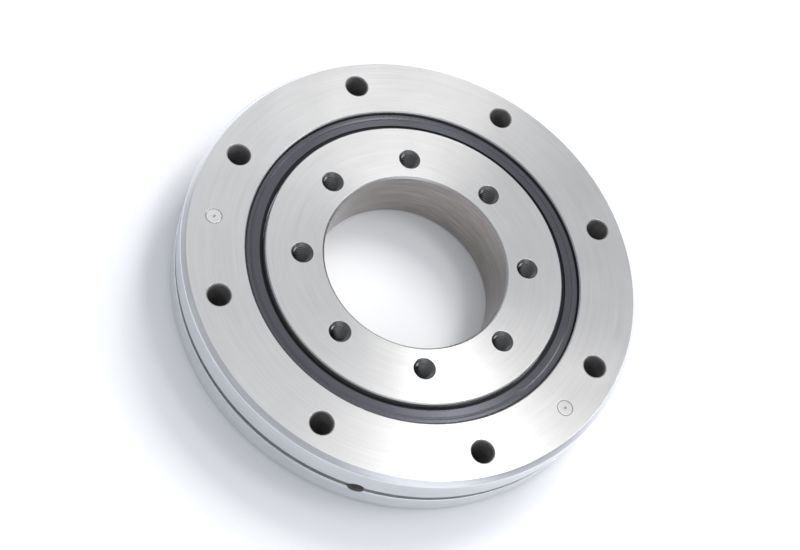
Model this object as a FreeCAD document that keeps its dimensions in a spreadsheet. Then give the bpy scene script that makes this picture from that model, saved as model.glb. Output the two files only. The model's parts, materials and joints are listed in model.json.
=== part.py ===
"""A crossed-roller slewing ring bearing, built as the separate pieces it is assembled from.

The origin is the bearing's centre: on its axis, at half its width. +Z is the bearing's axis and points
out of the face on which the outer ring's bolt holes are plain; their counterbores open on the -Z face.
Azimuths are degrees about +Z, counted from +X, where one of the outer ring's bolt holes lies.
"""
import FreeCAD, Part
import math
import os

import Sketcher

# Driving dimensions: millimetres, degrees and plain counts.
SIZES = {
    # both rings
    "width": 14.0,
    "hole_count": 8,
    "shoulder_chamfer": 0.25,
    # outer ring
    "outer_diameter": 95.0,
    "rim_chamfer": 1.0,
    "bolt_circle": 83.0,
    "bolt_hole": 4.5,
    "bolt_hole_chamfer": 0.25,
    "counterbore": 8.0,
    "counterbore_depth": 4.4,
    "oil_groove_width": 1.6,
    "oil_groove_depth": 0.6,
    "oil_groove_height": -0.4,
    "oil_hole": 3.5,
    "oil_hole_azimuth": -120.5,
    # inner ring
    "bore": 38.0,
    "bore_chamfer": 0.4,
    "tapped_circle": 47.0,
    "tapped_hole": 4.0,
    "tapped_hole_chamfer": 0.25,
    "tapped_azimuth": 30.4,
    # raceways and rollers
    "roller_count": 26,
    "pitch_circle": 66.0,
    "roller_diameter": 6.0,
    "roller_length": 5.75,
    "roller_chamfer": 0.3,
    "race_clearance": 0.05,
    "race_relief_half": 0.6,
    "race_relief_depth": 4.5,
    "land_gap_half": 0.5,
    # spacers between the rollers
    "spacer_diameter": 5.4,
    "spacer_length": 4.2,
    "saddle_clearance": 0.05,
    # seals, and the seat for them in each shoulder
    "seal_outer_radius": 34.8,
    "seal_inner_radius": 31.0,
    "seal_seat_height": 4.8,
    "seal_recess": 0.8,
    "seal_shoulder": 0.35,
    "seal_channel_inset": 0.95,
    "seal_channel_width": 0.6,
    "seal_channel_depth": 0.15,
    "seal_heel": 1.5,
    "seal_web_lift": 0.35,
    "lip_clearance": 0.15,
    "lip_face": 0.7,
    "lip_step": 0.45,
    "lip_fall": 0.75,
    "lip_edge": 0.2,
    "lip_undercut": 0.5,
    # roller-loading plugs and their pins
    "plug_diameter": 7.0,
    "plug_azimuth_a": 156.2,
    "plug_azimuth_b": -61.4,
    "pin_circle": 83.0,
    "pin_diameter": 3.2,
    "pin_chamfer": 0.12,
    "pin_mark": 0.9,
    # how far a cutting cylinder runs past the rim
    "overrun": 1.0,
}

CROSSING_ANGLE = 45.0
LEAST_CUT = 1.0  # mm3: a hole that removes less has missed the solid
CUT_TOLERANCE = 1e-3  # how far a pattern's volume may be from its copies', as a share

doc = FreeCAD.newDocument("slewing_ring")
sheet = doc.addObject("Spreadsheet::Sheet", "Sizes")


def fill_sheet():
    for row, (name, value) in enumerate(SIZES.items(), start=1):
        sheet.set(f"A{row}", name)
        sheet.set(f"B{row}", str(value))
        sheet.setAlias(f"B{row}", name)
    doc.recompute()


class Size:
    """A size worked out from the sheet: its value now, and the expression that keeps it bound."""

    def __init__(self, text, value):
        self.text = text
        self.value = value

    def joined(self, sign, other, value):
        other_text = other.text if isinstance(other, Size) else str(other)
        return Size(f"({self.text} {sign} {other_text})", value)

    def __add__(self, other):
        return self.joined("+", other, self.value + number(other))

    def __sub__(self, other):
        return self.joined("-", other, self.value - number(other))

    def __mul__(self, other):
        return self.joined("*", other, self.value * number(other))

    def __truediv__(self, other):
        return self.joined("/", other, self.value / number(other))

    def __neg__(self):
        return Size(f"(-1 * {self.text})", -self.value)


def number(size):
    return size.value if isinstance(size, Size) else size


ZERO = Size("0", 0.0)


def size(name):
    return Size(f"Sizes.{name}", float(sheet.get(name)))


def new_body(label):
    body = doc.addObject("PartDesign::Body", label)
    body.Label = label
    return body


def origin_feature(body, role):
    return next(item for item in body.Origin.OriginFeatures if item.Role == role)


def section_sketch(body, name, corners, azimuth=0.0, axis=None):
    """A closed section of straight sides in the upright plane through the bearing's axis.

    corners are (radius, height) pairs of Size. The plane is turned to the azimuth. axis, a pair of such
    corners, adds a construction line to turn the section about.
    """
    sketch = body.newObject("Sketcher::SketchObject", name)
    sketch.AttachmentSupport = [(origin_feature(body, "XZ_Plane"), "")]
    sketch.MapMode = "FlatFace"
    turn = FreeCAD.Rotation(FreeCAD.Vector(0, 1, 0), azimuth)
    sketch.AttachmentOffset = FreeCAD.Placement(FreeCAD.Vector(), turn)
    points = [FreeCAD.Vector(radius.value, height.value, 0) for radius, height in corners]
    count = len(points)
    for index in range(count):
        sketch.addGeometry(Part.LineSegment(points[index], points[(index + 1) % count]), False)
    for index in range(count):
        sketch.addConstraint(Sketcher.Constraint("Coincident", index, 2, (index + 1) % count, 1))
    for index, corner in enumerate(corners):
        bind_point(sketch, f"corner{index}", index, 1, corner)
    if axis:
        ends = [FreeCAD.Vector(radius.value, height.value, 0) for radius, height in axis]
        line = sketch.addGeometry(Part.LineSegment(ends[0], ends[1]), True)
        bind_point(sketch, "axis_start", line, 1, axis[0])
        bind_point(sketch, "axis_end", line, 2, axis[1])
    doc.recompute()
    return sketch


def bind_point(sketch, name, line, end, corner):
    for kind, part, length in (("DistanceX", "radius", corner[0]), ("DistanceY", "height", corner[1])):
        index = sketch.addConstraint(Sketcher.Constraint(kind, -1, 1, line, end, length.value))
        sketch.renameConstraint(index, f"{name}_{part}")
        sketch.setExpression(f"Constraints.{name}_{part}", length.text)


def turned(body, name, corners):
    """A solid of revolution about the bearing's axis."""
    sketch = section_sketch(body, f"{name}_section", corners)
    feature = body.newObject("PartDesign::Revolution", name)
    feature.Profile = sketch
    feature.ReferenceAxis = (sketch, ["V_Axis"])
    feature.Angle = 360.0
    doc.recompute()
    return feature


def bored(body, name, corners, axis, azimuth=0.0, copies=None):
    """A hole whose half section is turned about axis; copies repeats it about the bearing's axis."""
    before = body.Shape.Volume
    sketch = section_sketch(body, f"{name}_section", corners, azimuth, axis)
    feature = body.newObject("PartDesign::Groove", name)
    feature.Profile = sketch
    feature.ReferenceAxis = (sketch, ["Axis0"])
    feature.Angle = 360.0
    doc.recompute()
    one = before - body.Shape.Volume
    if copies:
        feature = polar_pattern(body, feature, copies)
    removed = before - body.Shape.Volume
    wanted = one * (copies.value if copies else 1)
    if one < LEAST_CUT or abs(removed - wanted) > CUT_TOLERANCE * wanted:
        raise RuntimeError(f"{name} removed {removed:.3f} mm3, not {wanted:.3f}")
    return feature


def polar_pattern(body, feature, copies):
    pattern = body.newObject("PartDesign::PolarPattern", f"{feature.Name}_pattern")
    pattern.Originals = [feature]
    pattern.Axis = (origin_feature(body, "Z_Axis"), [""])
    pattern.Angle = 360.0
    pattern.setExpression("Occurrences", copies.text)
    body.Tip = pattern
    doc.recompute()
    return pattern


def upright_hole(radius_at, bottom, top, mouths):
    """The half section and the axis of a hole parallel to the bearing's axis.

    mouths gives the outline beyond the plain wall: (distance from the hole's axis, height) pairs, from
    the bottom mouth to the top one.
    """
    corners = [(radius_at, bottom)]
    corners += [(radius_at + reach, height) for reach, height in mouths]
    corners += [(radius_at, top)]
    return corners, ((radius_at, bottom), (radius_at, top))


def chamfered_mouths(wall, chamfer, half_width):
    """The outline of a hole of radius wall with a 45 degree chamfer at both faces."""
    return [
        (wall + chamfer, -half_width),
        (wall, -half_width + chamfer),
        (wall, half_width - chamfer),
        (wall + chamfer, half_width),
    ]


def race_flank(side):
    """The V raceway's corners from its lower mouth to its upper one; side is 1 outside, -1 inside."""
    pitch = size("pitch_circle") / 2
    gap = size("land_gap_half")
    relief = size("race_relief_half")
    reach = (size("roller_diameter") / 2 + size("race_clearance")) * math.sqrt(2)
    depth = size("race_relief_depth")
    mouth = reach - gap
    lower_half = [
        (pitch + gap * side, -mouth),
        (pitch + (reach - relief) * side, -relief),
        (pitch + depth * side, -relief),
    ]
    upper_half = [(radius, -height) for radius, height in reversed(lower_half)]
    return lower_half + upper_half


def outer_section():
    half = size("width") / 2
    rim = size("outer_diameter") / 2
    rim_chamfer = size("rim_chamfer")
    groove_floor = rim - size("oil_groove_depth")
    groove_low = size("oil_groove_height") - size("oil_groove_width") / 2
    groove_high = size("oil_groove_height") + size("oil_groove_width") / 2
    seat = size("seal_outer_radius")
    seat_height = size("seal_seat_height")
    land = size("pitch_circle") / 2 + size("land_gap_half")
    chamfer = size("shoulder_chamfer")
    rim_side = [
        (seat + chamfer, -half),
        (rim - rim_chamfer, -half),
        (rim, -half + rim_chamfer),
        (rim, groove_low),
        (groove_floor, groove_low),
        (groove_floor, groove_high),
        (rim, groove_high),
        (rim, half - rim_chamfer),
        (rim - rim_chamfer, half),
        (seat + chamfer, half),
    ]
    upper_seat = [(seat, half - chamfer), (seat, seat_height), (land, seat_height)]
    lower_seat = [(land, -seat_height), (seat, -seat_height), (seat, -half + chamfer)]
    return rim_side + upper_seat + list(reversed(race_flank(1))) + lower_seat


def inner_section():
    half = size("width") / 2
    bore = size("bore") / 2
    bore_chamfer = size("bore_chamfer")
    seat = size("seal_inner_radius")
    seat_height = size("seal_seat_height")
    land = size("pitch_circle") / 2 - size("land_gap_half")
    chamfer = size("shoulder_chamfer")
    lower_seat = [(seat - chamfer, -half), (seat, -half + chamfer), (seat, -seat_height), (land, -seat_height)]
    upper_seat = [(radius, -height) for radius, height in reversed(lower_seat)]
    bore_side = [
        (bore + bore_chamfer, half),
        (bore, half - bore_chamfer),
        (bore, -half + bore_chamfer),
        (bore + bore_chamfer, -half),
    ]
    return lower_seat + race_flank(-1) + upper_seat + bore_side


def outer_ring():
    body = new_body("outer_ring")
    turned(body, "ring", outer_section())
    drill_bolt_holes(body)
    drill_oil_hole(body)
    for mark in ("a", "b"):
        azimuth = size(f"plug_azimuth_{mark}").value
        drill_plug_bore(body, mark, azimuth)
        drill_pin_hole(body, mark, azimuth)
    return body


def drill_bolt_holes(body):
    half = size("width") / 2
    wall = size("bolt_hole") / 2
    chamfer = size("bolt_hole_chamfer")
    head = size("counterbore") / 2
    ledge = size("counterbore_depth") - half
    mouths = [
        (head + chamfer, -half),
        (head, -half + chamfer),
        (head, ledge),
        (wall, ledge),
        (wall, half - chamfer),
        (wall + chamfer, half),
    ]
    corners, axis = upright_hole(size("bolt_circle") / 2, -half, half, mouths)
    bored(body, "bolt_hole", corners, axis, copies=size("hole_count"))


def drill_oil_hole(body):
    start = size("pitch_circle") / 2 + size("land_gap_half")
    end = size("outer_diameter") / 2 + size("overrun")
    middle = size("oil_groove_height")
    top = middle + size("oil_hole") / 2
    corners = [(start, middle), (end, middle), (end, top), (start, top)]
    axis = ((start, middle), (end, middle))
    bored(body, "oil_hole", corners, axis, size("oil_hole_azimuth").value)


def drill_plug_bore(body, mark, azimuth):
    start = size("pitch_circle") / 2
    end = size("outer_diameter") / 2 + size("overrun")
    top = size("plug_diameter") / 2
    corners = [(start, ZERO), (end, ZERO), (end, top), (start, top)]
    bored(body, f"plug_bore_{mark}", corners, ((start, ZERO), (end, ZERO)), azimuth)


def drill_pin_hole(body, mark, azimuth):
    half = size("width") / 2
    wall = size("pin_diameter") / 2
    mouths = chamfered_mouths(wall, size("pin_chamfer"), half)
    corners, axis = upright_hole(size("pin_circle") / 2, -half, half, mouths)
    bored(body, f"pin_hole_{mark}", corners, axis, azimuth)


def inner_ring():
    body = new_body("inner_ring")
    turned(body, "ring", inner_section())
    half = size("width") / 2
    wall = size("tapped_hole") / 2
    mouths = chamfered_mouths(wall, size("tapped_hole_chamfer"), half)
    corners, axis = upright_hole(size("tapped_circle") / 2, -half, half, mouths)
    bored(body, "tapped_hole", corners, axis, size("tapped_azimuth").value, size("hole_count"))
    return body


def seal(label, side):
    """A rubber seal: its rim fills the outer ring's seat and its lip runs close to the inner ring.

    side is 1 for the +Z face and -1 for the -Z face.
    """
    rim = size("seal_outer_radius")
    lip = size("seal_inner_radius") + size("lip_clearance")
    top = size("width") / 2 - size("seal_recess")
    foot = size("seal_seat_height")
    shoulder = size("seal_shoulder")
    channel = rim - size("seal_channel_inset")
    channel_width = size("seal_channel_width")
    lip_start = lip + size("lip_face")
    lip_top = top - size("lip_fall")
    web = foot + size("seal_web_lift")
    heel = rim - size("seal_heel")
    corners = [
        (rim, foot),
        (rim, top - shoulder),
        (rim - shoulder, top),
        (channel, top),
        (channel - channel_width / 2, top - size("seal_channel_depth")),
        (channel - channel_width, top),
        (lip_start, top),
        (lip_start, top - size("lip_step")),
        (lip, lip_top),
        (lip, lip_top - size("lip_edge")),
        (lip + size("lip_undercut"), web),
        (heel, web),
        (heel, foot),
    ]
    body = new_body(label)
    turned(body, "ring", [(radius, height * side) for radius, height in corners])
    return body


def outer_blank():
    """The outer ring's plain section, turned: the plugs are cut out of it, so they follow its faces."""
    body = new_body("outer_blank")
    turned(body, "ring", outer_section())
    return body


def loading_plug(blank, mark):
    """A round plug that closes a roller-loading bore; a piece of the raceway is ground into its end."""
    label = f"loading_plug_{mark}"
    azimuth = size(f"plug_azimuth_{mark}").value
    shank = doc.addObject("Part::Cylinder", f"{label}_shank")
    shank.setExpression("Radius", "Sizes.plug_diameter / 2")
    shank.setExpression("Height", "Sizes.outer_diameter / 2 + Sizes.overrun")
    outwards = FreeCAD.Rotation(FreeCAD.Vector(0, 0, 1), azimuth)
    lying = FreeCAD.Rotation(FreeCAD.Vector(0, 1, 0), 90)
    shank.Placement = FreeCAD.Placement(FreeCAD.Vector(), outwards * lying)
    solid = doc.addObject("Part::Common", f"{label}_solid")
    solid.Base = blank
    solid.Tool = shank
    hole = doc.addObject("Part::Cylinder", f"{label}_pin_hole")
    hole.setExpression("Radius", "Sizes.pin_diameter / 2")
    hole.setExpression("Height", "Sizes.width")
    reach = size("pin_circle").value / 2
    centre = outwards.multVec(FreeCAD.Vector(reach, 0, -size("width").value / 2))
    hole.Placement = FreeCAD.Placement(centre, FreeCAD.Rotation())
    plug = doc.addObject("Part::Cut", label)
    plug.Label = label
    plug.Base = solid
    plug.Tool = hole
    doc.recompute()
    return plug


def plug_pins():
    """The two pins that lock the plugs: flush with both faces, with a centre mark in each end."""
    half = size("width") / 2
    wall = size("pin_diameter") / 2
    chamfer = size("pin_chamfer")
    mark = size("pin_mark") / 2
    corners = [
        (ZERO, -half + mark),
        (mark, -half),
        (wall - chamfer, -half),
        (wall, -half + chamfer),
        (wall, half - chamfer),
        (wall - chamfer, half),
        (mark, half),
        (ZERO, half - mark),
    ]
    pins = []
    for name in ("a", "b"):
        body = new_body(f"plug_pin_{name}")
        turned(body, "pin", corners)
        azimuth = math.radians(size(f"plug_azimuth_{name}").value)
        reach = size("pin_circle").value / 2
        centre = FreeCAD.Vector(reach * math.cos(azimuth), reach * math.sin(azimuth), 0)
        body.Placement = FreeCAD.Placement(centre, FreeCAD.Rotation())
        pins.append(body)
    group = doc.addObject("Part::Compound", "plug_pins")
    group.Label = "plug_pins"
    group.Links = pins
    doc.recompute()
    return group


def crossed(index):
    """Neighbouring rollers lean opposite ways."""
    return CROSSING_ANGLE if index % 2 == 0 else -CROSSING_ANGLE


def roller_seat(index, azimuth):
    """Where a roller lies: on the pitch circle at the azimuth, its axis crossed with its neighbours'."""
    around = FreeCAD.Rotation(FreeCAD.Vector(0, 0, 1), azimuth)
    lean = FreeCAD.Rotation(FreeCAD.Vector(0, 1, 0), crossed(index))
    centre = around.multVec(FreeCAD.Vector(size("pitch_circle").value / 2, 0, 0))
    return FreeCAD.Placement(centre, around * lean)


def roller(index, step):
    """A cylindrical roller, a little shorter than its diameter, so that its ends run clear."""
    half = size("roller_length") / 2
    wall = size("roller_diameter") / 2
    chamfer = size("roller_chamfer")
    corners = [
        (ZERO, -half),
        (wall - chamfer, -half),
        (wall, -half + chamfer),
        (wall, half - chamfer),
        (wall - chamfer, half),
        (ZERO, half),
    ]
    body = new_body(f"roller_{index + 1:02d}")
    turned(body, "roller", corners)
    body.Placement = roller_seat(index, index * step)
    return body


def spacer(index, step):
    """A round spacer between two rollers, with a saddle for each; it is made at azimuth 0 and turned."""
    label = f"spacer_{index + 1:02d}"
    disc = doc.addObject("Part::Cylinder", f"{label}_disc")
    disc.setExpression("Radius", "Sizes.spacer_diameter / 2")
    disc.setExpression("Height", "Sizes.spacer_length")
    along_pitch = FreeCAD.Rotation(FreeCAD.Vector(1, 0, 0), -90)
    start = FreeCAD.Vector(size("pitch_circle").value / 2, -size("spacer_length").value / 2, 0)
    disc.Placement = FreeCAD.Placement(start, along_pitch)
    saddles = []
    for neighbour, azimuth in ((index, -step / 2), (index + 1, step / 2)):
        saddle = doc.addObject("Part::Cylinder", f"{label}_saddle")
        saddle.setExpression("Radius", "Sizes.roller_diameter / 2 + Sizes.saddle_clearance")
        saddle.setExpression("Height", "Sizes.roller_diameter * 2")
        seat = roller_seat(neighbour, azimuth)
        middle = FreeCAD.Placement(FreeCAD.Vector(0, 0, -size("roller_diameter").value), FreeCAD.Rotation())
        saddle.Placement = seat * middle
        saddles.append(saddle)
    both = doc.addObject("Part::MultiFuse", f"{label}_saddles")
    both.Shapes = saddles
    body = doc.addObject("Part::Cut", label)
    body.Label = label
    body.Base = disc
    body.Tool = both
    doc.recompute()
    turn = FreeCAD.Rotation(FreeCAD.Vector(0, 0, 1), (index + 0.5) * step)
    body.Placement = FreeCAD.Placement(FreeCAD.Vector(), turn)
    return body


def checked_shape(piece):
    shape = piece.Shape
    if shape.isNull() or not shape.isValid() or shape.Volume <= 0:
        raise RuntimeError(f"{piece.Label} has no sound shape")
    if any(not solid.isClosed() for solid in shape.Solids):
        raise RuntimeError(f"{piece.Label} has an open solid")
    return shape


def build():
    fill_sheet()
    count = int(size("roller_count").value)
    step = 360.0 / count
    blank = outer_blank()
    pieces = [outer_ring(), inner_ring(), seal("upper_seal", 1), seal("lower_seal", -1)]
    pieces += [loading_plug(blank, "a"), loading_plug(blank, "b"), plug_pins()]
    pieces += [roller(index, step) for index in range(count)]
    pieces += [spacer(index, step) for index in range(count)]
    doc.recompute()
    return pieces


def main():
    pieces = build()
    for item in doc.Objects:
        if "Invalid" in item.State or "Error" in item.State:
            raise RuntimeError(f"{item.Name} failed: {item.State}")
    shapes = {piece.Label: checked_shape(piece) for piece in pieces}
    os.makedirs("parts", exist_ok=True)
    for label, shape in shapes.items():
        shape.exportStep(f"parts/{label}.step")
        box = shape.BoundBox
        print(
            f"{label}: {len(shape.Solids)} solid(s), {shape.Volume:.2f} mm3, "
            f"x {box.XMin:.2f} to {box.XMax:.2f}, y {box.YMin:.2f} to {box.YMax:.2f}, "
            f"z {box.ZMin:.2f} to {box.ZMax:.2f}"
        )


main()
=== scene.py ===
"""Looks for a crossed-roller slewing ring bearing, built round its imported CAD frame.

Sections are drawn in millimetres as (radius, height) corners, turned about an axis, cut with turned tools
and only then scaled to metres. Azimuths are degrees about +Z, counted from +X.
"""
import json
import math

import bpy
import numpy as np
from mathutils import Matrix, Vector


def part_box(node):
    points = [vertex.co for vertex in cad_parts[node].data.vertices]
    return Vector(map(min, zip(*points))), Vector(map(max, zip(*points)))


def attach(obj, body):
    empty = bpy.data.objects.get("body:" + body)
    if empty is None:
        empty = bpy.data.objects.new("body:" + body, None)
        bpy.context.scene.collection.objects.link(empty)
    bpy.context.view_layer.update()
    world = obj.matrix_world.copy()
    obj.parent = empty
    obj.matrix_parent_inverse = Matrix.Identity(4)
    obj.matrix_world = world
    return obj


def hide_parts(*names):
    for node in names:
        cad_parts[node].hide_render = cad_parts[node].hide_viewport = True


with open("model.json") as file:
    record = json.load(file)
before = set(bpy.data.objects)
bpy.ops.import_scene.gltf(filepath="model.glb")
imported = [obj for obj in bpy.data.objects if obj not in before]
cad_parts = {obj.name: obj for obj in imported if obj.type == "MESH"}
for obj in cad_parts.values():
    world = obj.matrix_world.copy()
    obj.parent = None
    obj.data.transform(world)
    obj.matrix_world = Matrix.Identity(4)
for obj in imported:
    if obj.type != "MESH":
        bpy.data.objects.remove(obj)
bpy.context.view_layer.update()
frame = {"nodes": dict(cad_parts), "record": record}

MM = 0.001
MOUNTS = {mount["name"]: mount for mount in frame["record"]["mounts"]}

# What the frame gives, in millimetres.
RIM = MOUNTS["housing_seat"]["dims"]["r_mm"]
BORE = MOUNTS["central_bore"]["dims"]["r_mm"]
HALF_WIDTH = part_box("outer_ring")[1].z / MM
BOLTS = MOUNTS["outer_bolt_circle"]["dims"]
TAPS = MOUNTS["inner_bolt_circle"]["dims"]
OIL_HOLE = MOUNTS["oil_inlet"]["dims"]["r_mm"]
OIL_AZIMUTH = math.degrees(math.atan2(MOUNTS["oil_inlet"]["pos_m"][1], MOUNTS["oil_inlet"]["pos_m"][0]))
GROOVE_HEIGHT = MOUNTS["oil_inlet"]["pos_m"][2] / MM

# Sections of the two rings.
RIM_CHAMFER = 1.0
SHOULDER_CHAMFER = 0.25
BORE_CHAMFER = 0.4
GROOVE_WIDTH = 1.6
GROOVE_DEPTH = 0.6
PITCH = 33.0
LAND_GAP = 0.5
RACE_RADIUS = 3.05  # the roller's own, and its clearance
RACE_REACH = RACE_RADIUS * math.sqrt(2)
RELIEF_HALF = 0.6
RELIEF_DEPTH = 4.5
SEAL_RIM = 34.8
INNER_SHOULDER = 31.0
SEAT_HEIGHT = 4.8
# Holes.
HOLE_CHAMFER = 0.25
COUNTERBORE = 4.0
COUNTERBORE_DEPTH = 4.4
TAP_CHAMFER = 0.25
TAP_AZIMUTH = 30.4
TAP_CREST = 1.65
TAP_LEAD = 0.7
TAP_HALF_ANGLE = math.radians(30)
TAP_ROOT_FLAT = TAP_LEAD / 8
# Loading plugs and their pins.
PLUG = 3.5
PLUG_AZIMUTHS = (156.2, -61.4)
PIN_CIRCLE = 41.5
PIN = 1.6
PIN_CHAMFER = 0.12
PIN_MARK = 0.36
# The seals. The channel is a shallow groove in the top, and the heel fills the seat in the outer ring.
SEAL_RECESS = 0.8
SEAL_TOP = HALF_WIDTH - SEAL_RECESS
SEAL_SLOPE = 0.35
CHANNEL_INSET = 0.95
CHANNEL = SEAL_RIM - CHANNEL_INSET
CHANNEL_WIDTH = 0.6
CHANNEL_DEPTH = 0.15
LIP_CLEARANCE = 0.15
LIP = INNER_SHOULDER + LIP_CLEARANCE
LIP_FACE = 0.7
LIP_START = LIP + LIP_FACE
LIP_STEP = 0.45
LIP_FALL = 0.75
LIP_EDGE = 0.2
LIP_UNDERCUT = 0.5
WEB_RISE = 0.35
WEB_HEIGHT = SEAT_HEIGHT + WEB_RISE
HEEL_WIDTH = 1.5
HEEL = SEAL_RIM - HEEL_WIDTH

# How finely things are turned, and how far edges are rounded.
RING_SEGMENTS = 480
HOLE_SEGMENTS = 72
TAP_SEGMENTS = 40
ARC_STEP = math.radians(23)
EDGE = 0.06
SOFT_EDGE = 0.15
RIM_EDGE = 0.4
LARGEST_FILLET = 0.45  # as a share of the shorter side beside it
NO_FILLET = 1e-6
OVERRUN = 1.0
JOINT_GAP = 0.008
SHARP_ANGLE = math.radians(32)
LARGE_FACES_LEAD = 100
# The upright part of a unit normal on a level face, and its range on a chamfer.
LEVEL = 0.99999
SLOPES = (0.12, 0.995)
# The two points at each end of a chamfer that is cut or turned, as shares of EDGE: along the surface that
# it leaves, and off it.
HOLE_FOOT = (0.3, 0.1)
HOLE_HEAD = (0.2, 0.35)
HEAD_RISE = 0.1
PIN_FOOT = (0.3, 0.3)
PIN_HEAD = (0.5, 0.4)
PIN_MARK_FLAT = 0.15  # the mark's bottom, as a share of its radius
LEDGE_TURN = 0.3  # the counterbore's corner, as a share of SOFT_EDGE

# The materials' patterns. A length is in metres, a scale is in noise cells to the metre.
ACROSS_THE_MARKS = 0.25  # a quarter turn: light spreads across the tool marks, not along them
HEIGHT_IN_MARKS = 0.83  # marks follow the height on a wall nearly as they follow the radius on a face
NOISE_LOW = 0.3
NOISE_HIGH = 0.7
NOISE_MIDDLE = 0.5
FINE_PITCH = 0.00011
BROAD_PITCH = 0.0007
CLOUD_SCALE = 110.0
SCRATCH_SCALES = (2200.0, 130.0, 400.0)
SCRATCH_FROM = 0.70
SCRATCH_TO = 0.76
# How far each pattern of machined steel changes its lightness, its roughness and its relief.
FINE_LIGHTNESS = 0.20
BROAD_LIGHTNESS = 0.06
CLOUD_LIGHTNESS = 0.08
SCRATCH_LIGHTNESS = -0.03
BROAD_ROUGHNESS = 0.08
CLOUD_ROUGHNESS = 0.30
SCRATCH_ROUGHNESS = 0.10
BROAD_RELIEF = 0.3
SCRATCH_RELIEF = -0.5
MARK_DEPTH = 0.00002
PIT_DEPTH = 0.00004

# The studio: the floor's half width in metres, and the gap under the bearing in millimetres.
FLOOR_REACH = 3.0
FLOOR_GAP = 0.05
FLOOR_COLOUR = (0.83, 0.835, 0.85, 1)
FLOOR_ROUGHNESS = 0.65
ROOM_COLOUR = (0.92, 0.95, 1.0, 1)
WARM = (1.0, 0.98, 0.94)
LAMP_DISTANCE = 0.8

# The room's light along +X: from one share of the way to another, and what it is at each.
ROOM_RISE = (-0.60, 0.00, 0.46, 1.0)
ROOM_FALL = (0.15, 0.55, 1.14, 0.56)

# The camera, in millimetres from the bearing's centre.
CAMERA_PLACE = Vector((-125.4, -120.0, 287.1))
CAMERA_UP = Vector((0.131, 0.853, 0.505))
CAMERA_AIM = Vector((-1.5, 0.5, 0.0))
CAMERA_LENS = 74.0
CAMERA_NEAREST = 0.01


# ---------------------------------------------------------------- outlines and meshes

def filleted(corners):
    """The points of a closed outline whose (x, y, fillet) corners are rounded to arcs."""
    points = []
    count = len(corners)
    for index, (x, y, fillet) in enumerate(corners):
        here = Vector((x, y))
        back = Vector(corners[index - 1][:2]) - here
        ahead = Vector(corners[(index + 1) % count][:2]) - here
        half = back.angle(ahead) / 2
        reach = min(fillet / math.tan(half), LARGEST_FILLET * min(back.length, ahead.length))
        if reach < NO_FILLET:
            points.append((x, y))
            continue
        radius = reach * math.tan(half)
        centre = here + (back.normalized() + ahead.normalized()).normalized() * (radius / math.sin(half))
        start = here + back.normalized() * reach - centre
        end = here + ahead.normalized() * reach - centre
        sweep = math.atan2(start.cross(end), start.dot(end))
        steps = max(2, math.ceil(abs(sweep) / ARC_STEP))
        for step in range(steps + 1):
            turn = sweep * step / steps
            arm = Vector((
                start.x * math.cos(turn) - start.y * math.sin(turn),
                start.x * math.sin(turn) + start.y * math.cos(turn),
            ))
            points.append(tuple(centre + arm))
    return points


def new_piece(name, points, faces):
    mesh = bpy.data.meshes.new(name)
    mesh.from_pydata(points, [], faces)
    mesh.validate()
    piece = bpy.data.objects.new(name, mesh)
    bpy.context.scene.collection.objects.link(piece)
    return piece


def rings_of(outline, segments):
    """The outline's points repeated at every step about Z."""
    points = []
    for segment in range(segments):
        angle = 2 * math.pi * segment / segments
        cosine, sine = math.cos(angle), math.sin(angle)
        points += [(radius * cosine, radius * sine, height) for radius, height in outline]
    return points


def turned(name, outline, segments=RING_SEGMENTS):
    """A ring turned about Z from a closed outline that runs anticlockwise."""
    count = len(outline)
    faces = []
    for segment in range(segments):
        here, there = segment * count, (segment + 1) % segments * count
        for index in range(count):
            after = (index + 1) % count
            faces.append((here + index, there + index, there + after, here + after))
    return new_piece(name, rings_of(outline, segments), faces)


def rod(name, outline, segments=HOLE_SEGMENTS):
    """A solid turned about Z from an outline that runs upwards, closed by a flat at each end."""
    count = len(outline)
    faces = []
    for segment in range(segments):
        here, there = segment * count, (segment + 1) % segments * count
        for index in range(count - 1):
            faces.append((here + index, there + index, there + index + 1, here + index + 1))
    bottom = [segment * count for segment in range(segments)]
    faces.append(tuple(reversed(bottom)))
    faces.append(tuple(point + count - 1 for point in bottom))
    return new_piece(name, rings_of(outline, segments), faces)


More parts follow.
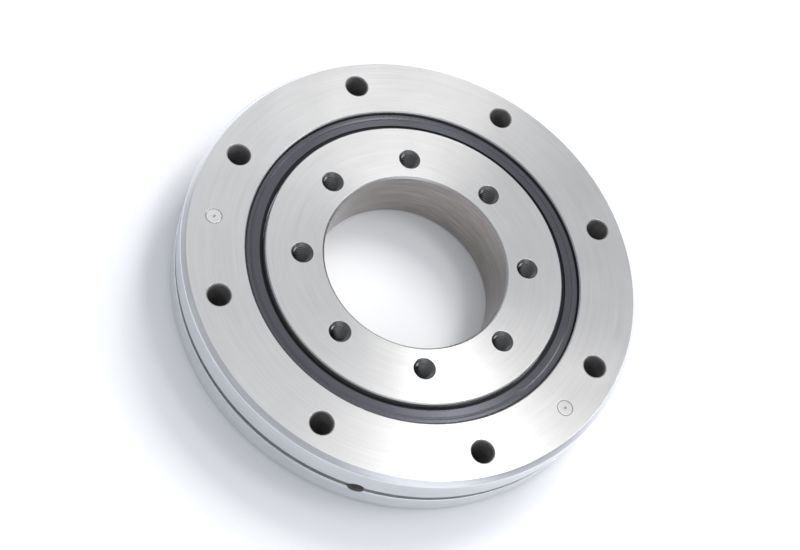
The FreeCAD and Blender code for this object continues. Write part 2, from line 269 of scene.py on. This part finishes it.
def thread_tool(name, length):
    """The shape that cuts a thread: a rod whose surface is a helix of the thread's own profile."""
    wall = TAPS["hole_r_mm"]
    flank = (wall - TAP_CREST) * math.tan(TAP_HALF_ANGLE)
    profile = [
        (wall, 0.0),
        (wall, TAP_ROOT_FLAT),
        (TAP_CREST, TAP_ROOT_FLAT + flank),
        (TAP_CREST, TAP_LEAD - flank),
    ]
    count = len(profile)
    turns = math.ceil(length / TAP_LEAD)
    rows = turns * count + 1
    points = []
    for segment in range(TAP_SEGMENTS):
        angle = 2 * math.pi * segment / TAP_SEGMENTS
        rise = TAP_LEAD * segment / TAP_SEGMENTS - length / 2
        for row in range(rows):
            radius, height = profile[row % count]
            height += row // count * TAP_LEAD + rise
            points.append((radius * math.cos(angle), radius * math.sin(angle), height))
    faces = []
    for segment in range(TAP_SEGMENTS):
        here = segment * rows
        last = segment == TAP_SEGMENTS - 1
        there, climb = (0, count) if last else (here + rows, 0)
        for row in range(rows - 1 - climb):
            faces.append((here + row, there + row + climb, there + row + 1 + climb, here + row + 1))
    top = rows - 1
    last_column = (TAP_SEGMENTS - 1) * rows
    low_rim = [segment * rows for segment in range(TAP_SEGMENTS)] + list(range(count, 0, -1))
    high_rim = [segment * rows + top for segment in range(TAP_SEGMENTS - 1)]
    high_rim += list(range(last_column + top, last_column + top - count - 1, -1))
    low_tip = -length / 2 - wall
    high_tip = length / 2 + wall + TAP_LEAD
    for rim, height, flip in ((low_rim, low_tip, True), (high_rim, high_tip, False)):
        apex = len(points)
        points.append((0.0, 0.0, height))
        for start, end in zip(rim, rim[1:] + rim[:1]):
            faces.append((end, start, apex) if flip else (start, end, apex))
    return new_piece(name, points, faces)


def placed(piece, matrix):
    piece.data.transform(matrix)
    return piece


def upright(radius, azimuth):
    """Moves a tool from the axis to a place on a circle."""
    angle = math.radians(azimuth)
    return Matrix.Translation((radius * math.cos(angle), radius * math.sin(angle), 0))


def radial(azimuth, height=0.0):
    """Lays a tool along a radius: its +Z end points outwards."""
    turn = Matrix.Rotation(math.radians(azimuth), 4, "Z") @ Matrix.Rotation(math.radians(90), 4, "Y")
    return Matrix.Translation((0, 0, height)) @ turn


def around(tool, radius, count, first=0.0):
    """The tool repeated on a circle, as one mesh."""
    copies = []
    for index in range(count):
        copy = tool.copy()
        copy.data = tool.data.copy()
        bpy.context.scene.collection.objects.link(copy)
        copies.append(placed(copy, upright(radius, first + 360 * index / count)))
    bpy.data.objects.remove(tool)
    return joined(copies)


def joined(pieces):
    with bpy.context.temp_override(active_object=pieces[0], selected_editable_objects=pieces):
        bpy.ops.object.join()
    return pieces[0]


def carve(piece, tool, operation="DIFFERENCE"):
    """Applies one Boolean and removes the tool."""
    step = piece.modifiers.new("carve", "BOOLEAN")
    step.operation = operation
    step.solver = "MANIFOLD"
    step.object = tool
    apply_modifiers(piece)
    bpy.data.objects.remove(tool)


def apply_modifiers(piece):
    graph = bpy.context.evaluated_depsgraph_get()
    made = bpy.data.meshes.new_from_object(piece.evaluated_get(graph))
    old = piece.data
    piece.modifiers.clear()
    piece.data = made
    made.name = piece.name
    bpy.data.meshes.remove(old)


def cylinder_tool(name, radius, start, end):
    return rod(name, [(radius, start), (radius, end)])


# ---------------------------------------------------------------- the pieces

def race_side(side):
    """Half of a raceway, from the land to the bottom of the relief, above mid-width."""
    return [
        (PITCH + LAND_GAP * side, RACE_REACH - LAND_GAP, EDGE),
        (PITCH + (RACE_REACH - RELIEF_HALF) * side, RELIEF_HALF, EDGE),
        (PITCH + RELIEF_DEPTH * side, RELIEF_HALF, EDGE),
    ]


def mirrored(corners):
    return [(x, -y, fillet) for x, y, fillet in reversed(corners)]


def outer_outline():
    floor = RIM - GROOVE_DEPTH
    low, high = GROOVE_HEIGHT - GROOVE_WIDTH / 2, GROOVE_HEIGHT + GROOVE_WIDTH / 2
    shoulder = [
        (RIM - RIM_CHAMFER, HALF_WIDTH, SOFT_EDGE),
        (SEAL_RIM + SHOULDER_CHAMFER, HALF_WIDTH, EDGE),
        (SEAL_RIM, HALF_WIDTH - SHOULDER_CHAMFER, EDGE),
        (SEAL_RIM, SEAT_HEIGHT, EDGE),
        (PITCH + LAND_GAP, SEAT_HEIGHT, EDGE),
    ]
    rim = [
        (RIM, -HALF_WIDTH + RIM_CHAMFER, RIM_EDGE),
        (RIM, low, SOFT_EDGE),
        (floor, low, EDGE),
        (floor, high, EDGE),
        (RIM, high, SOFT_EDGE),
        (RIM, HALF_WIDTH - RIM_CHAMFER, RIM_EDGE),
    ]
    inside = shoulder + race_side(1)
    return filleted(rim + inside + mirrored(inside))


def inner_outline():
    bore = [
        (BORE, HALF_WIDTH - BORE_CHAMFER, EDGE),
        (BORE + BORE_CHAMFER, HALF_WIDTH, EDGE),
    ]
    shoulder = [
        (INNER_SHOULDER - SHOULDER_CHAMFER, HALF_WIDTH, EDGE),
        (INNER_SHOULDER, HALF_WIDTH - SHOULDER_CHAMFER, EDGE),
        (INNER_SHOULDER, SEAT_HEIGHT, EDGE),
        (PITCH - LAND_GAP, SEAT_HEIGHT, EDGE),
    ]
    upper = bore + shoulder + race_side(-1)
    return list(reversed(filleted(upper + mirrored(upper))))


def flared(wall, chamfer, top):
    """The upper end of a hole's tool: a chamfer, its edge rounded over into the face."""
    return [
        (wall, top - chamfer - EDGE),
        (wall + EDGE * HOLE_FOOT[0], top - chamfer + EDGE * HOLE_FOOT[1]),
        (wall + chamfer - EDGE, top - EDGE),
        (wall + chamfer - EDGE * HOLE_HEAD[0], top - EDGE * HOLE_HEAD[1]),
        (wall + chamfer + EDGE, top + EDGE * HEAD_RISE),
        (wall + chamfer + EDGE, top + OVERRUN),
    ]


def below(outline):
    """An outline's points, mirrored from above mid-width to below it."""
    return [(radius, -height) for radius, height in reversed(outline)]


def bolt_hole_tool():
    wall = BOLTS["hole_r_mm"]
    head = below(flared(COUNTERBORE, HOLE_CHAMFER, HALF_WIDTH))
    ledge = COUNTERBORE_DEPTH - HALF_WIDTH
    outline = head + [
        (COUNTERBORE, ledge - SOFT_EDGE),
        (COUNTERBORE - SOFT_EDGE * LEDGE_TURN, ledge - SOFT_EDGE * LEDGE_TURN),
        (COUNTERBORE - SOFT_EDGE, ledge),
        (wall + EDGE, ledge),
        (wall, ledge + EDGE),
    ]
    return rod("bolt_hole_tool", outline + flared(wall, HOLE_CHAMFER, HALF_WIDTH))


def outer_ring():
    ring = turned("outer_ring_steel", outer_outline())
    carve(ring, around(bolt_hole_tool(), BOLTS["pcd_mm"] / 2, BOLTS["count"]))
    oil_tool = cylinder_tool("oil_tool", OIL_HOLE, PITCH, RIM + OVERRUN)
    carve(ring, placed(oil_tool, radial(OIL_AZIMUTH, GROOVE_HEIGHT)))
    for azimuth in PLUG_AZIMUTHS:
        carve(ring, placed(cylinder_tool("plug_tool", PLUG, PITCH, RIM + OVERRUN), radial(azimuth)))
        pin_hole = flared(PIN, PIN_CHAMFER, HALF_WIDTH)
        carve(ring, placed(rod("pin_tool", below(pin_hole) + pin_hole), upright(PIN_CIRCLE, azimuth)))
    return ring


def inner_ring():
    ring = turned("inner_ring_steel", inner_outline())
    wall = TAPS["hole_r_mm"]
    flare = flared(wall, TAP_CHAMFER, HALF_WIDTH)[2:]
    countersink = [(wall - OVERRUN, HALF_WIDTH - TAP_CHAMFER - OVERRUN)] + flare
    for outline in (countersink, below(countersink)):
        carve(ring, around(rod("countersink", outline), TAPS["pcd_mm"] / 2, TAPS["count"], TAP_AZIMUTH))
    tool = thread_tool("thread_tool", 2 * (HALF_WIDTH + OVERRUN))
    carve(ring, around(tool, TAPS["pcd_mm"] / 2, TAPS["count"], TAP_AZIMUTH))
    return ring


def seal(name, side):
    """A moulded rubber seal; side is 1 for the +Z face and -1 for the -Z face."""
    outline = filleted([
        (SEAL_RIM, SEAT_HEIGHT, EDGE),
        (SEAL_RIM, SEAL_TOP - SEAL_SLOPE, SOFT_EDGE),
        (SEAL_RIM - SEAL_SLOPE, SEAL_TOP, SOFT_EDGE),
        (CHANNEL, SEAL_TOP, SOFT_EDGE),
        (CHANNEL - CHANNEL_WIDTH / 2, SEAL_TOP - CHANNEL_DEPTH, SOFT_EDGE),
        (CHANNEL - CHANNEL_WIDTH, SEAL_TOP, SOFT_EDGE),
        (LIP_START, SEAL_TOP, EDGE),
        (LIP_START, SEAL_TOP - LIP_STEP, EDGE),
        (LIP, SEAL_TOP - LIP_FALL, EDGE),
        (LIP, SEAL_TOP - LIP_FALL - LIP_EDGE, EDGE),
        (LIP + LIP_UNDERCUT, WEB_HEIGHT, SOFT_EDGE),
        (HEEL, WEB_HEIGHT, EDGE),
        (HEEL, SEAT_HEIGHT, EDGE),
    ])
    return turned(name, outline if side > 0 else below(outline))


def loading_plug(mark, azimuth):
    """The part of the outer ring's section that lies in a loading bore."""
    plug = turned(f"loading_plug_{mark}_steel", outer_outline())
    shank = cylinder_tool("shank", PLUG - JOINT_GAP, 0.0, RIM + OVERRUN)
    carve(plug, placed(shank, radial(azimuth)), "INTERSECT")
    hole = cylinder_tool("pin_hole", PIN, -HALF_WIDTH - OVERRUN, HALF_WIDTH + OVERRUN)
    carve(plug, placed(hole, upright(PIN_CIRCLE, azimuth)))
    return plug


def plug_pins():
    """Both pins as one piece, with a centre mark in each end."""
    wall = PIN - JOINT_GAP
    end = [
        (wall, HALF_WIDTH - PIN_CHAMFER - EDGE),
        (wall - EDGE * PIN_FOOT[0], HALF_WIDTH - PIN_CHAMFER + EDGE * PIN_FOOT[1]),
        (wall - PIN_CHAMFER + EDGE * PIN_HEAD[0], HALF_WIDTH - EDGE * PIN_HEAD[1]),
        (wall - PIN_CHAMFER - EDGE, HALF_WIDTH),
        (PIN_MARK + EDGE, HALF_WIDTH),
        (PIN_MARK, HALF_WIDTH - EDGE * PIN_HEAD[1]),
        (PIN_MARK * PIN_MARK_FLAT, HALF_WIDTH - PIN_MARK),
    ]
    pins = []
    for azimuth in PLUG_AZIMUTHS:
        pins.append(placed(rod("plug_pins_steel", below(end) + end), upright(PIN_CIRCLE, azimuth)))
    return joined(pins)


# ---------------------------------------------------------------- materials

class Graph:
    """A material's nodes, added one by one. A socket is linked; anything else is set as a value."""

    def __init__(self, name):
        self.material = bpy.data.materials.new(name)
        self.material.use_nodes = True
        self.tree = self.material.node_tree
        self.shader = self.tree.nodes["Principled BSDF"]

    def fill(self, node, inputs):
        for key, value in inputs.items():
            if isinstance(value, bpy.types.NodeSocket):
                self.tree.links.new(value, node.inputs[key])
            else:
                node.inputs[key].default_value = value

    def node(self, kind, inputs, **settings):
        node = self.tree.nodes.new(kind)
        for key, value in settings.items():
            setattr(node, key, value)
        self.fill(node, inputs)
        return node

    def math(self, operation, first, second=0.0):
        return self.node("ShaderNodeMath", {0: first, 1: second}, operation=operation).outputs[0]

    def vector(self, operation, first, second=(0.0, 0.0, 0.0)):
        return self.node("ShaderNodeVectorMath", {0: first, 1: second}, operation=operation)

    def noise(self, place, scale, detail=2.0, roughness=0.5):
        inputs = {"Vector": place, "Scale": scale, "Detail": detail, "Roughness": roughness}
        return self.node("ShaderNodeTexNoise", inputs).outputs[0]

    def spread(self, value, low, high, out_low, out_high):
        """A value's range mapped smoothly on to another."""
        inputs = {0: value, 1: low, 2: high, 3: out_low, 4: out_high}
        return self.node("ShaderNodeMapRange", inputs, interpolation_type="SMOOTHSTEP").outputs[0]

    def total(self, *terms):
        result = terms[0]
        for term in terms[1:]:
            result = self.math("ADD", result, term)
        return result

    def grey(self, value, tint):
        """A value as a colour of that tint."""
        inputs = {0: value, 6: (0, 0, 0, 1), 7: (*tint, 1)}
        return self.node("ShaderNodeMix", inputs, data_type="RGBA").outputs[2]

    def between(self, noise, out_low, out_high):
        """A noise's usual range mapped smoothly on to another."""
        return self.spread(noise, NOISE_LOW, NOISE_HIGH, out_low, out_high)

    def swing(self, noise, amount):
        """A noise as a change to either side of none."""
        return self.math("MULTIPLY", self.math("SUBTRACT", noise, NOISE_MIDDLE), amount)

    def turned_tangent(self):
        """The direction of the tool marks round the axis."""
        return self.node("ShaderNodeTangent", {}, direction_type="RADIAL", axis="Z").outputs[0]

    def bump(self, height, strength, distance):
        inputs = {"Height": height, "Strength": strength, "Distance": distance}
        return self.node("ShaderNodeBump", inputs).outputs[0]

    def place(self):
        return self.node("ShaderNodeTexCoord", {}).outputs["Object"]

    def lathe_place(self, place, arc, pitch):
        """Coordinates that run long round the axis and short across the tool marks."""
        flat = self.vector("MULTIPLY", place, (1, 1, 0)).outputs[0]
        radius = self.vector("LENGTH", flat).outputs["Value"]
        heading = self.vector("SCALE", self.vector("NORMALIZE", flat).outputs[0])
        heading.inputs["Scale"].default_value = arc
        height = self.node("ShaderNodeSeparateXYZ", {0: place}).outputs[2]
        across = self.math("ADD", radius, self.math("MULTIPLY", height, HEIGHT_IN_MARKS))
        marks = self.node("ShaderNodeCombineXYZ", {2: self.math("DIVIDE", across, pitch)}).outputs[0]
        return self.vector("ADD", heading.outputs[0], marks).outputs[0]


def machined_steel(name, tone, tint, roughness, marks, anisotropy, rim_shade_share=1.0):
    """Turned or ground steel: tool marks round the axis, cloudy patches and a few light scratches.

    The last argument paints shade: how light the steel is towards the faces' edges, as a share of its tone
    elsewhere.
    """
    graph = Graph(name)
    place = graph.place()
    height = graph.math("ABSOLUTE", graph.node("ShaderNodeSeparateXYZ", {0: place}).outputs[2])
    # Painted shade: over a chamfer's height the tone falls towards the faces' edges.
    rounded = (HALF_WIDTH - RIM_CHAMFER) * MM
    corner = graph.spread(height, rounded, HALF_WIDTH * MM, tone, tone * rim_shade_share)
    fine = graph.noise(graph.lathe_place(place, arc=3.0, pitch=FINE_PITCH), scale=1.0, roughness=0.6)
    broad = graph.noise(graph.lathe_place(place, arc=1.6, pitch=BROAD_PITCH), scale=1.0, detail=1.0)
    cloud = graph.noise(place, scale=CLOUD_SCALE, detail=3.0, roughness=0.6)
    stretched = graph.vector("MULTIPLY", place, SCRATCH_SCALES).outputs[0]
    scratch = graph.spread(graph.noise(stretched, scale=1.0), SCRATCH_FROM, SCRATCH_TO, 0.0, 1.0)
    lightness = graph.total(
        graph.swing(fine, FINE_LIGHTNESS * marks),
        graph.swing(broad, BROAD_LIGHTNESS * marks),
        graph.swing(cloud, CLOUD_LIGHTNESS),
        graph.math("MULTIPLY", scratch, SCRATCH_LIGHTNESS),
        corner,
    )
    rough = graph.total(
        graph.swing(broad, BROAD_ROUGHNESS * marks * roughness),
        graph.swing(cloud, CLOUD_ROUGHNESS * roughness),
        graph.math("MULTIPLY", scratch, SCRATCH_ROUGHNESS),
        roughness,
    )
    relief = graph.total(
        fine,
        graph.math("MULTIPLY", broad, BROAD_RELIEF),
        graph.math("MULTIPLY", scratch, SCRATCH_RELIEF),
    )
    graph.fill(graph.shader, {
        "Base Color": graph.grey(lightness, tint),
        "Metallic": 1.0,
        "Roughness": rough,
        "Anisotropic": anisotropy,
        "Anisotropic Rotation": ACROSS_THE_MARKS,
        "Tangent": graph.turned_tangent(),
        "Normal": graph.bump(relief, strength=0.12 * marks, distance=MARK_DEPTH),
    })
    return graph.material


def painted_shade_steel(name):
    """Dark, rough, blotchy steel for holes and grooves: its dark tone is painted shade."""
    graph = Graph(name)
    place = graph.place()
    cloud = graph.noise(place, scale=420.0, detail=4.0, roughness=0.65)
    grain = graph.noise(place, scale=5200.0)
    lightness = graph.spread(cloud, low=NOISE_LOW, high=0.72, out_low=0.19, out_high=0.31)
    graph.fill(graph.shader, {
        "Base Color": graph.grey(lightness, tint=(1.0, 0.97, 0.98)),
        "Metallic": 0.25,
        "Roughness": graph.between(cloud, out_low=0.36, out_high=0.58),
        "Normal": graph.bump(graph.total(cloud, grain), strength=0.25, distance=PIT_DEPTH),
    })
    return graph.material


def polished_steel(name, tone, roughness):
    """Honed or lapped steel, with faint wandering lines and water-thin smears."""
    graph = Graph(name)
    place = graph.place()
    lines = graph.noise(graph.lathe_place(place, arc=2.0, pitch=0.0002), scale=1.0, roughness=0.6)
    smear = graph.noise(place, scale=160.0)
    lightness = graph.total(graph.swing(lines, 0.14), tone)
    graph.fill(graph.shader, {
        "Base Color": graph.grey(lightness, tint=(1.0, 0.995, 0.99)),
        "Metallic": 1.0,
        "Roughness": graph.between(smear, out_low=roughness * 0.8, out_high=roughness * 1.35),
        "Normal": graph.bump(lines, strength=0.06, distance=MARK_DEPTH),
    })
    return graph.material


def nitrile_rubber(name, roughness, gloss):
    """Moulded black rubber: a fine spark-eroded grain, faint mould rings and a grey bloom."""
    graph = Graph(name)
    place = graph.place()
    grain = graph.noise(place, scale=9000.0, detail=2.0, roughness=0.6)
    rings = graph.noise(graph.lathe_place(place, arc=0.8, pitch=0.00035), scale=1.0, detail=1.0)
    bloom = graph.noise(place, scale=190.0, detail=3.0, roughness=0.6)
    darkest = 0.010
    lightness = graph.total(
        graph.swing(grain, 0.012),
        graph.swing(rings, 0.014),
        graph.math("MULTIPLY", bloom, 0.010),
        darkest,
    )
    graph.fill(graph.shader, {
        "Base Color": graph.grey(lightness, tint=(0.90, 0.92, 1.0)),
        "Roughness": graph.between(bloom, out_low=roughness * 0.9, out_high=roughness * 1.1),
        "IOR": 1.7,
        "Specular IOR Level": gloss,
        "Specular Tint": (0.89, 0.895, 1.0, 1.0),
        "Anisotropic": 0.9,
        "Anisotropic Rotation": ACROSS_THE_MARKS,
        "Tangent": graph.turned_tangent(),
        "Normal": graph.bump(graph.total(grain, rings), strength=0.12, distance=MARK_DEPTH),
    })
    return graph.material


def acetal(name):
    """The spacers' moulded plastic."""
    graph = Graph(name)
    place = graph.place()
    flow = graph.noise(place, scale=500.0, detail=3.0, roughness=0.55)
    grain = graph.noise(place, scale=7000.0)
    lightness = graph.between(flow, out_low=0.60, out_high=0.72)
    graph.fill(graph.shader, {
        "Base Color": graph.grey(lightness, tint=(1.0, 0.96, 0.86)),
        "Roughness": graph.between(flow, out_low=0.34, out_high=0.46),
        "Normal": graph.bump(grain, strength=0.1, distance=MARK_DEPTH),
    })
    return graph.material


# ---------------------------------------------------------------- faces to materials

FACE, WALL, SLOPE, HOLE, RACE = range(5)  # the material slots of both rings and the plugs


class Faces:
    """Where each face of a mesh lies, in millimetres."""

    def __init__(self, mesh):
        count = len(mesh.polygons)
        centres = np.empty(count * 3)
        normals = np.empty(count * 3)
        mesh.polygons.foreach_get("center", centres)
        mesh.polygons.foreach_get("normal", normals)
        self.centres = centres.reshape(-1, 3)
        self.normals = normals.reshape(-1, 3)
        self.radius = np.hypot(self.centres[:, 0], self.centres[:, 1])
        self.height = np.abs(self.centres[:, 2])
        upright_part = np.abs(self.normals[:, 2])
        self.sloped = (upright_part > SLOPES[0]) & (upright_part < SLOPES[1])

    def from_points(self, radius, azimuths):
        """The level distance to the nearest of some places on a circle."""
        angles = np.radians(azimuths)
        holes = np.stack([radius * np.cos(angles), radius * np.sin(angles)], axis=1)
        return np.linalg.norm(self.centres[:, None, :2] - holes[None], axis=2).min(axis=1)


def even_azimuths(count, first=0.0):
    return first + 360 * np.arange(count) / count


def give_materials(piece, materials, choice):
    piece.data.materials.clear()
    for material in materials:
        piece.data.materials.append(material)
    piece.data.polygons.foreach_set("material_index", choice.astype(np.int32))


def outer_zones(piece):
    faces = Faces(piece.data)
    choice = np.full(len(faces.radius), FACE)
    choice[faces.sloped] = SLOPE
    choice[faces.radius > RIM - RIM_CHAMFER] = WALL
    choice[faces.from_points(PIN_CIRCLE, PLUG_AZIMUTHS) < PIN + PIN_CHAMFER + EDGE * 2] = FACE
    # Bolt holes and counterbores take the dark steel of painted shade.
    from_bolt = faces.from_points(BOLTS["pcd_mm"] / 2, even_azimuths(BOLTS["count"]))
    in_bolt_hole = from_bolt < BOLTS["hole_r_mm"] + HOLE_CHAMFER + EDGE
    in_counterbore = (from_bolt < COUNTERBORE + HOLE_CHAMFER + EDGE) & (faces.centres[:, 2] < 0)
    choice[(in_bolt_hole | in_counterbore) & (faces.height < HALF_WIDTH - EDGE / 2)] = HOLE
    # The groove's floor and the walls of the oil hole and the plugs' bores take the dark steel of painted
    # shade.
    under_wall = (faces.radius > SEAL_RIM + EDGE) & (faces.radius < RIM - GROOVE_DEPTH + EDGE)
    choice[under_wall & (faces.height < PLUG)] = HOLE
    choice[(faces.radius < SEAL_RIM + EDGE) & (faces.height < HALF_WIDTH - SHOULDER_CHAMFER)] = RACE
    give_materials(piece, (face_steel, lit_wall_steel, chamfer_shade_steel, hollow_shade, race_steel), choice)


def inner_zones(piece):
    faces = Faces(piece.data)
    choice = np.full(len(faces.radius), FACE)
    choice[faces.radius < BORE + EDGE] = WALL
    choice[faces.sloped] = SLOPE
    # The tapped holes take the threads' dark steel, which paints their shade.
    from_tap = faces.from_points(TAPS["pcd_mm"] / 2, even_azimuths(TAPS["count"], TAP_AZIMUTH))
    in_tap = from_tap < TAPS["hole_r_mm"] + TAP_CHAMFER + EDGE
    choice[in_tap & (faces.height < HALF_WIDTH - EDGE / 2)] = HOLE
    choice[(faces.radius > INNER_SHOULDER - EDGE) & (faces.height < WEB_HEIGHT)] = RACE
    give_materials(piece, (face_steel, bore_shade_steel, chamfer_shade_steel, thread_shade_steel, race_steel), choice)


def seal_zones(piece):
    """The lip, trimmed after moulding, is duller than the rest."""
    faces = Faces(piece.data)
    give_materials(piece, (rubber, lip_rubber), faces.radius < LIP_START + EDGE)


def shaded(piece):
    """Scales a piece to metres and shades it smooth between its sharp edges."""
    piece.data.transform(Matrix.Scale(MM, 4))
    piece.data.polygons.foreach_set("use_smooth", [True] * len(piece.data.polygons))
    piece.data.set_sharp_from_angle(angle=SHARP_ANGLE)
    weights = piece.modifiers.new("large faces lead", "WEIGHTED_NORMAL")
    weights.keep_sharp = True
    weights.weight = LARGE_FACES_LEAD
    apply_modifiers(piece)
    level_flats(piece.data)


def level_flats(mesh):
    """Points the shading straight up or down all over a mesh's level faces, to where their edges round."""
    face_heights = np.empty(len(mesh.polygons) * 3)
    mesh.polygons.foreach_get("normal", face_heights)
    face_heights = face_heights[2::3]
    corner_counts = np.empty(len(mesh.polygons), dtype=np.int32)
    mesh.polygons.foreach_get("loop_total", corner_counts)
    corner_points = np.empty(len(mesh.loops), dtype=np.int32)
    mesh.loops.foreach_get("vertex_index", corner_points)
    normals = np.empty(len(mesh.loops) * 3)
    mesh.corner_normals.foreach_get("vector", normals)
    normals = normals.reshape(-1, 3)
    corner_heights = np.repeat(face_heights, corner_counts)
    for side in (1, -1):
        level = corner_heights * side > LEVEL
        on_flat = np.zeros(len(mesh.vertices), dtype=bool)
        on_flat[corner_points[level]] = True
        blends = on_flat[corner_points] & (corner_heights * side > math.cos(SHARP_ANGLE))
        normals[level | blends] = (0, 0, side)
    mesh.normals_split_custom_set(normals)


def stands_for(piece, body, slot, *nodes):
    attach(piece, body)
    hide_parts(*nodes)


# ---------------------------------------------------------------- build

face_steel = machined_steel(
    "ground_face", tone=0.66, tint=(1.0, 0.98, 0.955), roughness=0.34, marks=1.0, anisotropy=0.75)
# The outer wall: a lighter, lavender-tinted copy of the ground steel, painted light of the pale floor it
# mirrors.
lit_wall_steel = machined_steel(
    "ground_wall_lit", tone=0.84, tint=(0.955, 0.965, 1.0), roughness=0.20, marks=1.6, anisotropy=0.55,
    rim_shade_share=0.95)
# The chamfers: a darker copy of the ground steel, painted shade along the edges.
chamfer_shade_steel = machined_steel(
    "darkened_chamfer_shade", tone=0.50, tint=(1.0, 0.995, 0.99), roughness=0.26, marks=0.6, anisotropy=0.3)
# The bore: a darker, brown-tinted copy with heavy streaks, painted shade and painted reflections of the
# surroundings.
bore_shade_steel = machined_steel(
    "honed_bore_shade", tone=0.45, tint=(1.0, 0.92, 0.87), roughness=0.14, marks=3.2, anisotropy=0.5)
pin_steel = machined_steel(
    "pin_end", tone=0.65, tint=(1.0, 0.98, 0.955), roughness=0.34, marks=0.8, anisotropy=0.75)
# The threads' dark tone paints the shade inside the tapped holes.
thread_shade_steel = polished_steel("cut_thread_shade", tone=0.165, roughness=0.28)
race_steel = polished_steel("lapped_race", tone=0.62, roughness=0.10)
roller_steel = polished_steel("lapped_roller", tone=0.70, roughness=0.07)
hollow_shade = painted_shade_steel("hollow_painted_shade")
rubber = nitrile_rubber("seal_nitrile", roughness=0.29, gloss=0.8)
lip_rubber = nitrile_rubber("seal_lip_nitrile", roughness=0.50, gloss=0.25)
plastic = acetal("spacer_acetal")


def build_rings():
    outer = outer_ring()
    outer_zones(outer)
    shaded(outer)
    stands_for(outer, "outer_ring_assembly", "outer_ring_steel", "outer_ring")
    inner = inner_ring()
    inner_zones(inner)
    shaded(inner)
    stands_for(inner, "inner_ring", "inner_ring_steel", "inner_ring")


def build_small_pieces():
    for name, side in (("upper_seal", 1), ("lower_seal", -1)):
        piece = seal(f"{name}_rubber", side)
        seal_zones(piece)
        shaded(piece)
        stands_for(piece, "outer_ring_assembly", "seal_rubber", name)
    for mark, azimuth in zip("ab", PLUG_AZIMUTHS):
        plug = loading_plug(mark, azimuth)
        outer_zones(plug)
        shaded(plug)
        stands_for(plug, "outer_ring_assembly", "plug_steel", f"loading_plug_{mark}")
    pins = plug_pins()
    pins.data.materials.append(pin_steel)
    shaded(pins)
    stands_for(pins, "outer_ring_assembly", "pin_steel", "plug_pins")


def finish_cad_nodes():
    """The rollers and spacers keep their CAD shapes and get their own materials."""
    for name, node in frame["nodes"].items():
        for start, material in (("roller_", roller_steel), ("spacer_", plastic)):
            if name.startswith(start):
                node.data.materials.clear()
                node.data.materials.append(material)


def floor():
    level = -(HALF_WIDTH + FLOOR_GAP) * MM
    turns = ((-1, -1), (1, -1), (1, 1), (-1, 1))
    corners = [(FLOOR_REACH * x, FLOOR_REACH * y, level) for x, y in turns]
    piece = new_piece("floor", corners, [(0, 1, 2, 3)])
    graph = Graph("pale_floor")
    graph.fill(graph.shader, {"Base Color": FLOOR_COLOUR, "Roughness": FLOOR_ROUGHNESS})
    piece.data.materials.append(graph.material)


def softbox(name, azimuth, elevation, width, height, power, distance=LAMP_DISTANCE):
    """A white area light that faces the bearing's centre. Its sizes are in metres and its power in watts."""
    light = bpy.data.lights.new(name, "AREA")
    light.shape = "RECTANGLE"
    light.size = width
    light.size_y = height
    light.energy = power
    lamp = bpy.data.objects.new(name, light)
    turn, rise = math.radians(azimuth), math.radians(elevation)
    away = Vector((math.cos(turn) * math.cos(rise), math.sin(turn) * math.cos(rise), math.sin(rise)))
    lamp.location = away * distance
    lamp.rotation_euler = away.to_track_quat("Z", "Y").to_euler()
    bpy.context.scene.collection.objects.link(lamp)
    return lamp


def studio():
    """A pale room, two lights for the steel's faces, one for its threads and one for all that isn't steel."""
    world = bpy.data.worlds.new("studio")
    world.use_nodes = True
    tree = world.node_tree
    heading = tree.nodes.new("ShaderNodeTexCoord").outputs["Generated"]
    parts = tree.nodes.new("ShaderNodeSeparateXYZ")
    tree.links.new(heading, parts.inputs[0])
    strength = tree.nodes.new("ShaderNodeMath")
    strength.operation = "MULTIPLY"
    for slot, span in enumerate((ROOM_RISE, ROOM_FALL)):
        step = tree.nodes.new("ShaderNodeMapRange")
        step.interpolation_type = "SMOOTHSTEP"
        tree.links.new(parts.outputs[0], step.inputs[0])
        for index, value in enumerate(span, start=1):
            step.inputs[index].default_value = value
        tree.links.new(step.outputs[0], strength.inputs[slot])
    backdrop = tree.nodes["Background"]
    backdrop.inputs[0].default_value = ROOM_COLOUR
    tree.links.new(strength.outputs[0], backdrop.inputs[1])
    bpy.context.scene.world = world
    key = softbox("key", azimuth=35, elevation=45, width=0.35, height=0.35, power=5.0, distance=0.9)
    key.data.color = WARM
    key.visible_glossy = False
    softbox("rear", azimuth=49.8, elevation=35.6, width=0.10, height=0.16, power=0.18)
    softbox("front", azimuth=-1, elevation=68.5, width=0.25, height=0.15, power=0.92)
    softbox("side", azimuth=-20, elevation=31, width=0.36, height=0.22, power=1.25)
    bpy.context.scene.view_settings.view_transform = "Standard"


def camera():
    away = (CAMERA_PLACE - CAMERA_AIM).normalized()
    right = CAMERA_UP.cross(away).normalized()
    up = away.cross(right)
    turn = Matrix((right, up, away)).transposed()
    data = bpy.data.cameras.new("camera")
    data.lens = CAMERA_LENS
    data.clip_start = CAMERA_NEAREST
    eye = bpy.data.objects.new("camera", data)
    eye.matrix_world = Matrix.Translation(CAMERA_PLACE * MM) @ turn.to_4x4()
    bpy.context.scene.collection.objects.link(eye)
    bpy.context.scene.camera = eye


build_rings()
build_small_pieces()
finish_cad_nodes()
floor()
studio()
camera()
